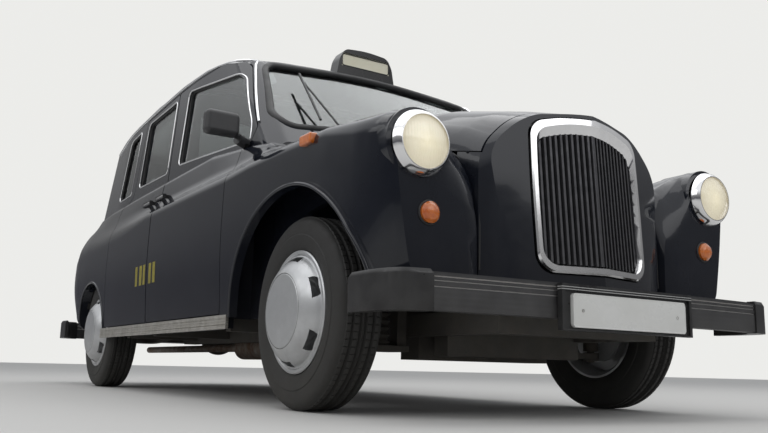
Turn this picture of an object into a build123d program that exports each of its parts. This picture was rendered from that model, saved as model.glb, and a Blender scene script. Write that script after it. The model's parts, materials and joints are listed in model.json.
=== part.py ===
from build123d import *
from math import cos, sin, tan, radians
import os

os.makedirs("parts", exist_ok=True)

# Sizes in mm: X forward, Y to the left, Z up, ground at Z = 0
overall_length = 4580
front_axle_x = 1500
wheelbase = 2812
half_track = 726
tyre_radius = 340
tyre_width = 176
kingpin_y = 640
half_width = 856
sill_z = 300
crest_z = 935
belt_z = 1120
belt_y = 785
floor_z = 350
door_wall = 60
roof_wall = 45
panel_wall = 25
shut_gap = 5
door_front_x = 862
door_middle_x = -190
door_rear_x = -1045
cowl_x = 1110
front_arch_reach = 500
front_arch_top_z = 778
rear_arch_top_z = 650
lamp_y = 693
lamp_z = 838
lamp_radius = 106
glass_thickness = 5
running_fit = 0.05
seat_gap = 0.3

rear_axle_x = front_axle_x - wheelbase
axle_z = tyre_radius
nose_x = overall_length / 2


# Shared ways of drawing
def inset(corners, depth):
    size = len(corners)
    turn = sum(corners[i - 1][0] * corners[i][1] - corners[i][0] * corners[i - 1][1] for i in range(size))
    side = 1 if turn > 0 else -1
    moved = []
    for i in range(size):
        here = Vector(*corners[i][:2])
        before = (here - Vector(*corners[i - 1][:2])).normalized()
        after = (Vector(*corners[(i + 1) % size][:2]) - here).normalized()
        inward = (Vector(-before.Y, before.X) + Vector(-after.Y, after.X)) * side
        spot = here + inward * (2 * depth / inward.length ** 2)
        moved.append((spot.X, spot.Y, corners[i][2]))
    return moved


def outline(corners, depth=0):
    """Closed outline of straight lines whose corners are rounded by a share of the free length."""
    corners = inset(corners, depth) if depth else corners
    radii = []
    for i, (a, b, softness) in enumerate(corners):
        before = Vector(a, b) - Vector(*corners[i - 1][:2])
        after = Vector(*corners[(i + 1) % len(corners)][:2]) - Vector(a, b)
        reach = 0.5 * min(before.length, after.length) * softness
        radii.append(reach / tan(radians(before.get_angle(after)) / 2))
    return FilletPolyline(*[(a, b) for a, b, softness in corners], radius=radii, close=True)


def face_of(corners, plane=Plane.XY, depth=0):
    return make_face((plane * outline(corners, depth)).edges())


def both_sides(half):
    return list(half) + [(-y, z, softness) for y, z, softness in reversed(half) if y > 0]


def plan(half):
    return list(half) + [(x, -y, softness) for x, y, softness in reversed(half) if y > 0]


def across(x):
    return Plane(origin=(x, 0, 0), x_dir=(0, 1, 0), z_dir=(1, 0, 0))


def body_loft(stations, depth=0, open_ends=0, mirrored=True):
    faces = []
    for i, (x, *corners) in enumerate(stations):
        end = 1 if i == 0 else -1 if i == len(stations) - 1 else 0
        half = both_sides(corners) if mirrored else corners
        direction = 1 if stations[0][0] > stations[-1][0] else -1
        faces.append(face_of(half, across(x + end * direction * open_ends), depth))
    return loft(faces, ruled=True)


def side_prism(corners, near, far, depth=0):
    """Prism along Y from an outline in X and Z."""
    return extrude(face_of(corners, Plane.XZ.offset(-near), depth), amount=near - far)


def end_prism(corners, near, far, depth=0):
    """Prism along X from an outline in Y and Z."""
    return extrude(face_of(corners, across(near), depth), amount=far - near)


def plan_prism(corners, low, high, depth=0):
    return extrude(face_of(corners, Plane.XY.offset(low), depth), amount=high - low)


def block(x, y, z):
    """Box between the limits of each axis."""
    return Pos((x[0] + x[1]) / 2, (y[0] + y[1]) / 2, (z[0] + z[1]) / 2) * Box(x[1] - x[0], y[1] - y[0], z[1] - z[0])


def rod(start, end, radius):
    line = Vector(*end) - Vector(*start)
    return extrude(Plane(origin=start, z_dir=line) * Circle(radius), amount=line.length)


def flip(shape):
    return mirror(shape, about=Plane.XZ)


def keep(name, *solids):
    bodies = []
    for solid in solids:
        bodies += solid.solids()
    shape = bodies[0] if len(bodies) == 1 else Compound(children=bodies)
    shape.label = name
    export_step(shape, f"parts/{name}.step")


def turned(profile, centre, direction):
    """Solid of revolution about a line: profile gives distance along it and radius."""
    plane = Plane(origin=centre, z_dir=direction)
    face = make_face(Polyline(*[(radius, along) for along, radius in profile], close=True))
    ring = revolve(Plane.XZ * face, Axis.Z, 360)
    return plane.location * ring


# Cab and tail: x, then y, z and softness of each corner from the sill up to the belt
side = [(half_width - 20, sill_z, 0.12), (half_width, 650, 0.9), (half_width - 6, crest_z, 0.8)]
lower_stations = [
    [door_front_x, *side, (805, 982, 0.8), (belt_y - 7, belt_z - 38, 0.5)],
    [500, *side, (806, 987, 0.8), (belt_y, belt_z, 0.5)],
    [-300, *side, (806, 987, 0.8), (belt_y, belt_z, 0.5)],
    [-800, *side[:2], (half_width - 6, 905, 0.8), (812, 987, 0.8), (belt_y - 3, belt_z, 0.5)],
    [-1300, (half_width - 22, sill_z + 20, 0.12), (half_width, 650, 0.9), (half_width - 6, 895, 0.8),
     (808, 992, 0.8), (belt_y - 10, belt_z - 3, 0.5)],
    [-1600, (half_width - 26, sill_z + 50, 0.12), (half_width + 2, 650, 0.9), (half_width - 6, 900, 0.8),
     (812, 1000, 0.8), (belt_y - 25, belt_z - 10, 0.5)],
    [-1850, (822, sill_z + 80, 0.5), (half_width - 1, 650, 0.9), (half_width - 8, 895, 0.8), (795, 1005, 0.8),
     (715, belt_z - 26, 0.6)],
    [-1990, (790, sill_z + 105, 0.5), (838, 645, 0.9), (830, 860, 0.8), (765, 975, 0.9), (640, 1060, 0.8)],
    [-2090, (735, sill_z + 125, 0.5), (790, 630, 0.9), (780, 815, 0.8), (705, 925, 0.9), (575, 990, 0.9)],
    [-2165, (655, sill_z + 140, 0.5), (715, 615, 0.9), (705, 765, 0.8), (630, 860, 0.9), (510, 905, 0.9)],
    [-2212, (580, sill_z + 155, 0.5), (635, 605, 0.9), (625, 725, 0.8), (560, 800, 0.9), (455, 835, 0.9)],
    [-2235, (520, sill_z + 170, 0.5), (565, 600, 0.9), (555, 695, 0.8), (490, 755, 0.9), (400, 778, 0.9)],
]

# Upper cab: plan outlines at the belt and at the cant rail
belt_plan = [(1130, 0, 1), (1066, 690, 0.4), (985, 748, 0.6), (200, 774, 0.4), (-1150, 768, 0.4),
             (-1870, 712, 0.6), (-1960, 440, 0.9), (-1985, 0, 1)]
cant_plan = [(615, 0, 1), (556, 632, 0.4), (488, 706, 0.6), (100, 734, 0.4), (-1150, 730, 0.4),
             (-1640, 682, 0.6), (-1705, 420, 0.9), (-1722, 0, 1)]
belt_plan_z = 1110
cant_plan_z = 1650

# Roof: x, height of the side rounding, height of the crown
roof_lines = [(cowl_x, 1337, 1427), (800, 1440, 1530), (620, 1548, 1632), (450, 1602, 1692), (200, 1635, 1740),
              (-200, 1655, 1766), (-600, 1655, 1770), (-1000, 1635, 1748), (-1350, 1600, 1713),
              (-1600, 1560, 1670), (-1850, 1490, 1595), (-2050, 1420, 1525)]

# Bonnet: x, then y, z and softness from the valley to the centre line
hood_stations = [
    [door_front_x, (674, 800, 0), (674, 1085, 0.8), (430, 1195, 0.9), (0, 1232, 0.9)],
    [1115, (668, 800, 0), (668, 1070, 0.8), (420, 1175, 0.9), (0, 1212, 0.9)],
    [1400, (602, 780, 0), (602, 1035, 0.8), (385, 1142, 0.9), (0, 1189, 0.9)],
    [1750, (520, 760, 0), (520, 985, 0.8), (345, 1097, 0.9), (0, 1152, 0.9)],
    [1940, (457, 740, 0), (457, 935, 0.8), (300, 1054, 0.9), (0, 1109, 0.9)],
    [2050, (430, 700, 0), (430, 880, 0.8), (285, 1018, 0.9), (0, 1078, 0.9)],
]

# Nose panel between the wings
nose_stations = [
    [1960, (452, 400, 0), (452, 925, 0.8), (297, 1047, 0.9), (0, 1103, 0.9)],
    [2050, (431, 400, 0), (431, 880, 0.8), (285, 1018, 0.9), (0, 1078, 0.9)],
    [2085, (385, 402, 0), (385, 892, 0.8), (268, 1012, 0.9), (0, 1065, 0.9)],
    [2112, (318, 408, 0), (318, 925, 0.8), (246, 1012, 0.9), (0, 1054, 0.9)],
    [2132, (278, 415, 0), (278, 950, 0.8), (226, 1014, 0.9), (0, 1048, 0.9)],
    [2200, (270, 420, 0), (270, 950, 0.8), (220, 1012, 0.9), (0, 1043, 0.9)],
]

# Left front wing: x, then corners from the sill round the crest to the inner side
wing_stations = [
    [door_front_x, *side, (805, 982, 0.8), (belt_y - 7, belt_z - 38, 0.5), (690, belt_z - 38, 0.2),
     (690, sill_z, 0)],
    [cowl_x, *side[:2], (half_width - 6, crest_z + 10, 0.8), (798, 985, 0.8), (762, 1052, 0.6), (680, 1052, 0.2),
     (680, sill_z, 0)],
    [1400, *side[:2], (half_width - 6, crest_z + 12, 0.8), (785, 985, 0.9), (700, 965, 0.9), (612, 950, 0.2),
     (612, sill_z, 0)],
    [1750, *side[:2], (half_width - 6, crest_z + 5, 0.8), (775, 968, 0.9), (680, 930, 0.9), (530, 898, 0.2),
     (530, sill_z, 0)],
    [1920, (815, sill_z + 40, 0.5), (842, 640, 0.9), (838, 915, 0.8), (760, 962, 0.9), (645, 945, 0.9),
     (474, 876, 0.3), (474, sill_z + 40, 0)],
    [1985, (785, sill_z + 70, 0.5), (820, 635, 0.9), (830, 910, 0.8), (750, 960, 0.9), (642, 950, 0.9),
     (449, 838, 0.4), (449, sill_z + 70, 0)],
    [2030, (757, sill_z + 90, 0.5), (800, 630, 0.9), (820, 907, 0.9), (745, 958, 0.95), (640, 956, 0.95),
     (436, 770, 0.6), (436, sill_z + 90, 0)],
    [2068, (736, sill_z + 105, 0.5), (777, 630, 0.9), (808, 900, 0.9), (740, 950, 0.95), (643, 950, 0.95),
     (452, 690, 0.8), (450, sill_z + 105, 0)],
    [2088, (716, sill_z + 120, 0.5), (757, 630, 0.9), (788, 886, 0.9), (730, 930, 0.95), (654, 930, 0.95),
     (515, 690, 0.8), (500, sill_z + 120, 0)],
]


def greenhouse(depth=0):
    rise = (1000 - belt_plan_z) / (cant_plan_z - belt_plan_z)
    climb = (1800 - belt_plan_z) / (cant_plan_z - belt_plan_z)
    faces = []
    for z, share in ((1000, rise), (1800, climb)):
        corners = [(a[0] + (b[0] - a[0]) * share, a[1] + (b[1] - a[1]) * share, a[2])
                   for a, b in zip(belt_plan, cant_plan)]
        faces.append(face_of(plan(corners), Plane.XY.offset(z), depth))
    return loft(faces, ruled=True) & roof_volume(depth)


def roof_volume(depth=0):
    stations = [[x, (880, 900, 0), (744, edge, 0.7), (560, crown - 34, 0.95), (0, crown, 0.9)]
                for x, edge, crown in roof_lines]
    return body_loft(stations, depth)


# Body shell: cab and tail, upper cab and cowl as walls, before the openings are cut
lower_outer = body_loft(lower_stations)
tail_stop = block((-2400, lower_stations[-1][0] + panel_wall), (-900, 900), (0, 1200))
belly = block((-940, door_front_x), (-776, 776), (200, 400)) + block((-2090, -900), (-600, 600), (200, 500)) \
    + block((-2150, -2060), (-540, 540), (200, 500))
lower_inner = (body_loft(lower_stations, door_wall, door_wall) - tail_stop) + belly
upper_outer = greenhouse()
upper_inner = greenhouse(roof_wall) & block((-2200, cowl_x - 35), (-900, 900), (900, 1800))
hood_outer = body_loft(hood_stations)
hood_inner = body_loft(hood_stations, panel_wall, 50)
cowl_outer = block((door_front_x, cowl_x), (-676, 676), (floor_z, 1060)) \
    + (hood_outer & block((door_front_x, cowl_x), (-700, 700), (790, 1300)))
cowl_inner = block((600, cowl_x - 35), (-640, 640), (floor_z - 10, 1020)) \
    + (hood_inner & block((door_front_x - 60, cowl_x - 35), (-640, 640), (800, 1300)))
wing_outer = body_loft(wing_stations, mirrored=False)
wing_inner = body_loft(wing_stations, panel_wall, mirrored=False)
wing_inner &= block((door_front_x + panel_wall, wing_stations[-1][0] - panel_wall), (300, 900), (200, 1200))
shell = lower_outer - lower_inner - upper_inner - cowl_inner
shell += upper_outer - upper_inner - lower_inner - cowl_inner
shell += cowl_outer - lower_inner - cowl_inner - upper_inner
shell = shell - wing_outer - flip(wing_outer)

# Outlines of the openings in X and Z
door_front_outline = [
    (door_middle_x, sill_z + 52, 0.05), (door_front_x, sill_z + 52, 0.05), (door_front_x, 1070, 0.3),
    (935, 1160, 0.3), (640, 1545, 0.3), (560, 1612, 0.4), (door_middle_x, 1622, 0.05)]
door_rear_outline = [
    (door_middle_x, sill_z + 52, 0.05), (door_middle_x, 1622, 0.05), (-790, 1604, 0.15), (-868, 1150, 0.3),
    (door_rear_x, 1085, 0.5), (door_rear_x, sill_z + 52, 0.05)]
front_window = [(-45, 1176, 0.15), (874, 1108, 0.3), (868, 1195, 0.9), (645, 1495, 0.4), (-22, 1582, 0.15)]
rear_window = [(-226, 1168, 0.15), (-222, 1586, 0.15), (-745, 1578, 0.2), (-778, 1180, 0.15)]
quarter_window = [(-940, 1165, 0.15), (-898, 1566, 0.2), (-1130, 1550, 0.45), (-1255, 1165, 0.3)]
screen = [(-698, 1148, 0.5), (0, 1212, 0.9), (698, 1148, 0.5), (604, 1562, 0.3), (0, 1600, 0.9),
          (-604, 1562, 0.3)]
back_window = [(-480, 1215, 0.3), (480, 1215, 0.3), (420, 1490, 0.3), (-420, 1490, 0.3)]
boot_outline = [(-450, 600, 0.3), (450, 600, 0.3), (420, 1010, 0.3), (-420, 1010, 0.3)]


def ellipse_prism(centre, reach, top_z, near, far):
    arch = Pos(centre, axle_z, 0) * Ellipse(reach, top_z - axle_z)
    return extrude(Plane.XZ.offset(-near) * arch, amount=near - far)


front_arch = ellipse_prism(front_axle_x - 12, front_arch_reach, front_arch_top_z, 380, 1000)
rear_arch = ellipse_prism(rear_axle_x - 105, 340, rear_arch_top_z, 520, 1000)
rear_house = Pos(rear_axle_x, 0, axle_z) * (Rot(90, 0, 0) * Cylinder(tyre_radius + 45, 2 * 826))
rear_house &= block((-2200, -900), (540, 826), (0, 900))

# Door panels, cut from the shell with their windows
door_gap = [inset(door_front_outline, shut_gap), inset(door_rear_outline, shut_gap)]
doors = []
for corners, window in zip(door_gap, (front_window, rear_window)):
    region = side_prism(corners, 560, 1000)
    panel = (lower_outer & region) + (upper_outer & region) - lower_inner - upper_inner
    doors.append(panel - side_prism(window, 560, 1000) - rear_house)
for name, panel in zip(("front", "rear"), doors):
    keep(f"door_{name}_left", panel)
    keep(f"door_{name}_right", flip(panel))

# Fixed body: roof, pillars, quarters, tail and cowl
body = shell
for corners in (door_rear_outline, door_front_outline, quarter_window):
    cutter = side_prism(corners, 560, 1000)
    body = body - cutter - flip(cutter)
for cutter in (rear_arch, rear_house):
    body = body - cutter - flip(cutter)
body -= end_prism(screen, 300, 1300)
body -= end_prism(back_window, -2100, -1400)
body -= end_prism(boot_outline, -2400, -1850)

# Boot lid, on two strap hinges that lie on the sloping tail
boot_lid = shell & end_prism(inset(boot_outline, shut_gap), -2400, -1850)
boot_hinge = Plane(origin=(-2067, 0, 1017), x_dir=(0.819, 0, 0.573), z_dir=(-0.573, 0, 0.819))
for y in (-250, 250):
    for reach, inner, outer in ((56, y - 36, y), (-60, y + seat_gap, y + 36)):
        strap = block((min(0, reach), max(0, reach)), (inner, outer), (-9.1, -2)) \
            + rod((0, inner, 0), (0, outer, 0), 7)
        if reach > 0:
            body += boot_hinge.location * strap
        else:
            boot_lid += boot_hinge.location * strap
keep("body_shell", body)
keep("boot_lid", boot_lid)

# Front wings with their arches, and the lamp tubes
wing = wing_outer - wing_inner
lamp_tube = Pos(2000, lamp_y, lamp_z) * (Rot(0, 90, 0) * Cylinder(118, 160))
lip = ellipse_prism(front_axle_x - 12, front_arch_reach + 22, front_arch_top_z + 20, 380, 1000)
lip = (body_loft(wing_stations, -8, mirrored=False) & lip & block((950, 2060), (760, 900), (sill_z + 40, 900))) - wing_inner
wing = (wing + lamp_tube + lip) - front_arch
wing -= Pos(2040, lamp_y, lamp_z) * (Rot(0, 90, 0) * Cylinder(lamp_radius - 5.4, 200))
wing -= side_prism(door_front_outline, 560, 1000)
wing -= block((cowl_x - 260, 2200), (300, 900), (0, sill_z + 40))
wing = max(wing.solids(), key=lambda piece: piece.volume)
keep("front_wings", wing, flip(wing))

# Nose panel with the grille mouth: the grille is two flat halves that meet in an upright ridge and lean back
ridge_x = 2180
grille_half = 257
grille_low = 471
grille_high = 1022
grille_turn = 0.22
grille_lean = 0.07


def behind_grille(ridge):
    """Space behind the two slanting halves, with their ridge at a place along X."""
    corners = [(1800, -600), (ridge - 600 * grille_turn, -600), (ridge, 0), (ridge - 600 * grille_turn, 600), (1800, 600)]
    face = make_face(Plane.XY.offset(700) * Polyline(*corners, close=True))
    return extrude(face, amount=700, dir=(-grille_lean, 0, 1), both=True)


def grille_line(side_in, top_in, low_in):
    """Front outline of one half, drawn in at its side, top and bottom."""
    reach = grille_half - side_in
    return [(-60, grille_low + low_in, 0.2), (reach - 5, grille_low + low_in, 0.45), (reach, 760, 0.9),
            (reach - 5, grille_high - 34 - top_in, 0.65), (100, grille_high - top_in, 0.9), (-60, grille_high - top_in, 0.2)]


def grille_half_loft(*layers):
    plane = Plane(origin=(ridge_x, 0, 700), x_dir=(-grille_turn, 1, 0), z_dir=(1, grille_turn, grille_lean))
    faces = []
    for lift, drawn_in in layers:
        corners = [(1.024 * y + 0.015 * (z - 700), z - 700, softness) for y, z, softness in grille_line(*drawn_in)]
        faces.append(face_of(corners, plane.offset(lift)))
    return loft(faces, ruled=True) & block((1900, 2300), (0, 400), (300, 1200))


def grille_prism(drawn_in):
    half = end_prism(grille_line(*drawn_in), 1950, 2300) & block((1900, 2300), (0, 400), (300, 1200))
    return half + flip(half)


outer_line = (0, 0, 0)
bead_line = (18, 25, 23)
bars_line = (23, 55, 32)
nose_inner = body_loft(nose_stations, panel_wall, panel_wall) & behind_grille(ridge_x - 62)
nose = (body_loft(nose_stations) & behind_grille(ridge_x - 8)) - nose_inner
nose -= grille_prism((-4, -4, -4)) - behind_grille(ridge_x - 37 - seat_gap)
nose -= grille_prism((29, 61, 38))
nose -= side_prism([(1900, 889, 0), (2048 + shut_gap, 862, 0), (2048 + shut_gap, 1300, 0), (1900, 1300, 0)], -900, 900)
buffer = Pos(2000, 437, 871) * Cylinder(5, 6)
nose = nose + buffer + flip(buffer)
keep("nose_panel", nose)

# Grille: bright surround with a bead and an inner slope, upright bars and three thin rods
surround = grille_half_loft((-36, outer_line), (0, outer_line)) + grille_half_loft((0, outer_line), (6, (5, 5, 5)))
surround -= grille_half_loft((-45, bars_line), (-14, bars_line))
surround -= grille_half_loft((-14, bars_line), (6, bead_line))
surround = surround + flip(surround)
keep("grille_surround", surround)
bar_count = 21
bar_pitch = 2 * (grille_half - 23) / (bar_count + 1)
bars = []
for i in range(bar_count):
    y = (i - bar_count // 2) * bar_pitch
    thick = 15 if y == 0 else 8
    bars.append(block((2000, 2200), (y - thick / 2, y + thick / 2), (grille_low, grille_high)))
bars_zone = grille_half_loft((-30, (24, 56, 33)), (-11, (24, 56, 33)))
rods_zone = grille_half_loft((-35, (24, 56, 33)), (-28, (24, 56, 33)))
rods = []
for share in (0.25, 0.5, 0.75):
    z = grille_low + share * (grille_high - grille_low)
    rods.append(block((2000, 2200), (-grille_half, grille_half), (z - 3, z + 3)))
grille = (bars[0].fuse(*bars[1:]) & (bars_zone + flip(bars_zone))) + (rods[0].fuse(*rods[1:]) & (rods_zone + flip(rods_zone)))
keep("grille_bars", grille)

# Bonnet lid
lid_line = [(cowl_x + 5, 1068, 0), (1400, 966, 0), (1750, 918, 0), (2048, 867, 0), (2048, 1300, 0),
            (cowl_x + 5, 1300, 0)]
bonnet = (hood_outer - hood_inner) & side_prism(lid_line, -900, 900)
keep("bonnet", bonnet)

# Glass
glass_outer = greenhouse(18)
glass_inner = greenhouse(18 + glass_thickness)
glass_skin = glass_outer - glass_inner
for name, window in zip(("front", "rear"), (front_window, rear_window)):
    pane = glass_skin & side_prism(window, 560, 1000, 0.3)
    keep(f"glass_{name}_left", pane)
    keep(f"glass_{name}_right", flip(pane))
quarter = glass_skin & side_prism(quarter_window, 560, 1000, 0.3)
keep("fixed_windows", glass_skin & end_prism(inset(screen, 0.3), 300, 1300),
     glass_skin & end_prism(inset(back_window, 0.3), -2100, -1400), quarter, flip(quarter))

# Lamps: rims with their bowls, lenses, direction lenses
rim_profile = [(0, lamp_radius - 10), (18, lamp_radius - 6), (27, lamp_radius), (42, lamp_radius - 6), (52, lamp_radius - 14),
               (55, lamp_radius - 17), (55, lamp_radius - 20), (40, lamp_radius - 20), (40, lamp_radius - 26),
               (0, lamp_radius - 22), (-60, 36), (-60, 0), (-66, 0), (-66, 44), (0, lamp_radius - 14)]
lens_profile = [(40 + seat_gap, 0), (40 + seat_gap, lamp_radius - 20 - seat_gap), (49, lamp_radius - 20 - seat_gap),
                (56, lamp_radius - 45), (60, 30), (61, 0)]
rim = turned(rim_profile, (2070, lamp_y, lamp_z), (1, 0, 0))
lens = turned(lens_profile, (2070, lamp_y, lamp_z), (1, 0, 0))
keep("headlamp_rims", rim, flip(rim))
keep("headlamp_lenses", lens, flip(lens))
indicator = turned([(0, 0), (0, 34), (12, 34), (22, 24), (28, 0)], (2088.3, 655, 625), (1, 0, 0))
repeater = Pos(1640, 850, 924) * fillet(Box(84, 40, 38).edges(), 9) - body_loft(wing_stations, -seat_gap, mirrored=False)
keep("indicator_lenses", indicator, flip(indicator), repeater, flip(repeater))

# Tail lamps
tail_lamp = body_loft(lower_stations[7:], -16) - body_loft(lower_stations[7:], -seat_gap)
tail_lamp &= end_prism([(588, 560, 0.5), (672, 560, 0.5), (672, 780, 0.5), (588, 780, 0.5)], -2300, -2060)

# Bumpers: ribbed bars and wrapped ends
def bumper_bar(middle_x, toward):
    lines = []
    for depth in (0, 5, 16, 44):
        lines.append(ThreePointArc((middle_x - toward * (26 + depth), -740), (middle_x - toward * depth, 0),
                                   (middle_x - toward * (26 + depth), 740)))
    layers = []
    for depth, low, high in ((1, 315, 420), (0, 315, 381), (0, 385, 398), (0, 402, 410), (0, 413, 420), (2, 420, 427)):
        ends = [Line(lines[depth] @ 0, lines[3] @ 0), Line(lines[depth] @ 1, lines[3] @ 1)]
        face = make_face([lines[depth], lines[3], *ends])
        layers.append(extrude(Plane.XY.offset(low) * face, amount=high - low))
    return layers[0].fuse(*layers[1:])


def bumper_end(middle_x, toward):
    start = 740 + seat_gap
    corners = [(-20, start, 0.05), (-40, 846, 0.9), (-155, 876, 0.9), (-285, 870, 0.3), (-285, 844, 0.3),
               (-170, 838, 0.9), (-95, 800, 0.9), (-66, start, 0.05)]
    corners = [(middle_x + toward * x, y, softness) for x, y, softness in corners]
    crown = loft([face_of(corners, Plane.XY.offset(417)), face_of(corners, Plane.XY.offset(432), 8)], ruled=True)
    return plan_prism(corners, 312, 417) + crown


front_bar_x = nose_x - 28
keep("bumpers", bumper_bar(front_bar_x, 1), bumper_bar(-nose_x, -1))
front_end = bumper_end(front_bar_x, 1)
rear_end = bumper_end(-nose_x, -1)
keep("bumper_ends", front_end, flip(front_end), rear_end, flip(rear_end))

# Number plates and the front plate's holder
plate_y = 12
holder = block((front_bar_x + 0.5, nose_x - 6), (plate_y - 303, plate_y + 303), (278, 422)) \
    - block((nose_x - 14, nose_x), (plate_y - 291, plate_y + 291), (284, 402))
keep("plate_holder", holder)
keep("plates", block((nose_x - 14 + seat_gap, nose_x), (plate_y - 262, plate_y + 262), (288, 393)),
     block((-2248, -2235 - seat_gap), (-262, 262), (482, 592)))

# Sill strips
sill_strip = block((-1082, 962), (half_width - 16.9, half_width - 5), (sill_z - 6, sill_z + 50))
for z in (sill_z + 8, sill_z + 20, sill_z + 32):
    sill_strip -= block((-1100, 980), (half_width - 8, half_width), (z, z + 4))
keep("sill_strips", sill_strip, flip(sill_strip))

# Roof sign: rounded housing with a hood, and a light face
sign_line = both_sides([(182, 1590, 0.1), (158, 1722, 0.5), (128, 1776, 0.8), (0, 1788, 0.9)])
sign_face = [(-146, 1684, 0.1), (146, 1684, 0.1), (140, 1756, 0.1), (-140, 1756, 0.1)]
sign = (end_prism(sign_line, 490, 574) + end_prism(inset(sign_line, 14), 470, 500)) - upper_outer
sign -= end_prism(sign_face, 560, 600)
keep("roof_sign_housing", sign)
keep("roof_sign_face", end_prism(inset(sign_face, seat_gap), 560 + seat_gap, 568))

# Door handles and mirrors
for name, low, high in (("front", -160, -30), ("rear", -390, -260)):
    handle = block((low, high), (824, 842), (992, 1016))
    handle += block((low + 6, low + 26), (790, 830), (996, 1012)) + block((high - 26, high - 6), (790, 830), (996, 1012))
    handle = handle - lower_outer
    handle = max(handle.solids(), key=lambda piece: piece.volume)
    keep(f"handle_{name}_left", handle)
    keep(f"handle_{name}_right", flip(handle))
mirror_head = Pos(927, 905, 1147) * Box(62, 150, 104)
mirror_head = fillet(mirror_head.edges(), 22)
mirror_arm = (rod((915, 860, 1120), (868, 750, 1100), 13) + rod((897, 818, 1102), (868, 750, 1086), 24)) \
    - lower_outer - upper_outer - wing_outer
# The foot is cut back in front of the hinge, so that it clears the wing as the door opens
mirror_arm -= block((door_front_x + 1, 905), (735, 784), (1060, 1085))
mirror_arm -= block((door_front_x + 2, 905), (735, 761), (1060, 1115))
mirror_arm = max(mirror_arm.solids(), key=lambda piece: piece.volume)
mirror_left = mirror_head + mirror_arm
keep("mirror_left", mirror_left)
keep("mirror_right", flip(mirror_left))

# Wipers on the screen
def on_screen(y, z, lift):
    share = (z - belt_plan_z) / (cant_plan_z - belt_plan_z)
    return (1130 + (615 - 1130) * share + lift, y, z)


wipers = []
for hand in (-1, 1):
    arm = rod(on_screen(hand * 418, 1190, 12), on_screen(hand * 484, 1462, 15), 5)
    blade = rod(on_screen(hand * 504, 1205, 15), on_screen(hand * 479, 1504, 15), 6)
    pivot = on_screen(hand * 418, 1190, 12)
    spindle = rod((pivot[0], pivot[1], 1165), (pivot[0], pivot[1], 1196), 9) - Pos(0, 0, seat_gap) * hood_outer
    spindle = max((spindle - upper_outer).solids(), key=lambda piece: piece.volume)
    wipers.append(arm + blade + spindle)
keep("wipers", *wipers)

# Inside: partition, front and rear seats, dashboard, steering wheel
def cabin_slab(near, far, depth):
    """Slice across the cab, as wide as the space between the doors less a depth."""
    low = end_prism(both_sides(lower_stations[2][1:]), near, far, door_wall + depth)
    return low + (greenhouse(roof_wall + depth) & block((near, far), (-900, 900), (1000, 1800)))


post_low = door_middle_x - 45
post_high = door_middle_x + 45
partition = cabin_slab(post_low, post_low + 25, seat_gap) - block((-300, -200), (-600, 600), (1080, 1520))
partition += cabin_slab(post_low, post_high, seat_gap) - cabin_slab(post_low - 1, post_high + 1, 25)
keep("partition", partition)
driver_side = -370
floor_top = floor_z + 10
cushion = fillet(block((-60, 420), (driver_side - 230, driver_side + 230), (560, 690)).edges(), 30)
squab = fillet(block((-190, -70), (driver_side - 230, driver_side + 230), (600, 1180)).edges(), 30)
stand = block((0, 360), (driver_side - 180, driver_side + 180), (floor_top + seat_gap, 560))
keep("front_seat", cushion + stand + block((-100, 0), (driver_side - 150, driver_side + 150), (600, 650)) + squab)
bench = fillet(block((-1330, -820), (-590, 590), (610, 740)).edges(), 30)
bench += fillet(block((-1480, -1310), (-590, 590), (640, 1190)).edges(), 30)
bench += block((-1320, -960), (-560, 560), (505 + seat_gap, 620))
keep("rear_seat", bench)
dashboard = fillet(block((850, 1040), (-640 + seat_gap, 640 - seat_gap), (900, 1030)).edges(), 25)
keep("dashboard", dashboard)
wheel_plane = Plane(origin=(640, driver_side, 985), z_dir=(-0.5, 0, 0.87))
column = rod((640, driver_side, 985), (640 + 0.5 * 740, driver_side, 985 - 0.87 * 740), 22)
column -= block((850, 1200), (driver_side - 50, driver_side + 50), (200, floor_top + seat_gap))
steering = wheel_plane * Torus(205, 13) + column
steering += wheel_plane * Box(400, 40, 14) + wheel_plane * Cylinder(50, 30)
keep("steering_wheel", steering)

# Floor, rear wheel houses
floor = block((-900, cowl_x - 35 - seat_gap), (-640 + seat_gap, 640 - seat_gap), (floor_z, floor_top))
floor += block((-900, door_front_x - seat_gap), (-775.7, 775.7), (floor_z, floor_top))
floor += block((-900, -890), (-600, 600), (floor_z, 505)) + block((-2050, -890), (-600, 600), (495, 505))
floor += block((-1720, -900), (590, 600), (495, 760)) + block((-1720, -900), (-600, -590), (495, 760))
floor += block((-120, 780), (60, 600), (floor_top, floor_top + 4)) + block((-1990, -1560), (-430, 430), (505, 509))
keep("floor_pan", floor)

# Chassis
shaft = rod((850, 0, 285), (-1189.2, 0, 325), 25)
shaft_space = rod((950, 0, 283), (-1250, 0, 327), 32)
frame_top = floor_z - seat_gap
tail_top = 495 - seat_gap
rail_outline = [(2080, 270, 0), (2080, frame_top, 0), (-900, frame_top, 0), (-1050, tail_top, 0), (-2150, tail_top, 0),
                (-2150, 425, 0), (-1085, 425, 0), (-930, 270, 0)]
rail = side_prism(rail_outline, 300, 370)
chassis = rail + flip(rail)
for low, high, bottom, top in ((2000, 2080, 270, 345), (1440, 1560, 186, 300), (1660, 1740, 200, 300),
                               (700, 760, 270, frame_top), (-460, -400, 270, frame_top), (-2150, -2090, 425, tail_top)):
    chassis += block((low, high), (-320, 320), (bottom, top))
for low, high in ((780, 830), (-240, -190), (-740, -690)):
    arm = block((low, high), (340, 776 - seat_gap), (290, frame_top))
    chassis += arm + flip(arm)
for near, far, low, high in ((2060, front_bar_x - 50.8, 335, 390), (-nose_x + 50.8, -2130, 365, 437)):
    horn = block((near, far), (300, 370), (low, high))
    chassis += horn + flip(horn)
hanger = block((-790, -700), (450, 510), (333.5, frame_top)) + block((-1950, -1910), (340, 510), (430, 470)) \
    + block((-1945, -1915), (455, 505), (346, 440))
chassis = chassis + hanger + flip(hanger) - shaft_space
keep("chassis_frame", chassis)
keep("propshaft", shaft)

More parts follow.
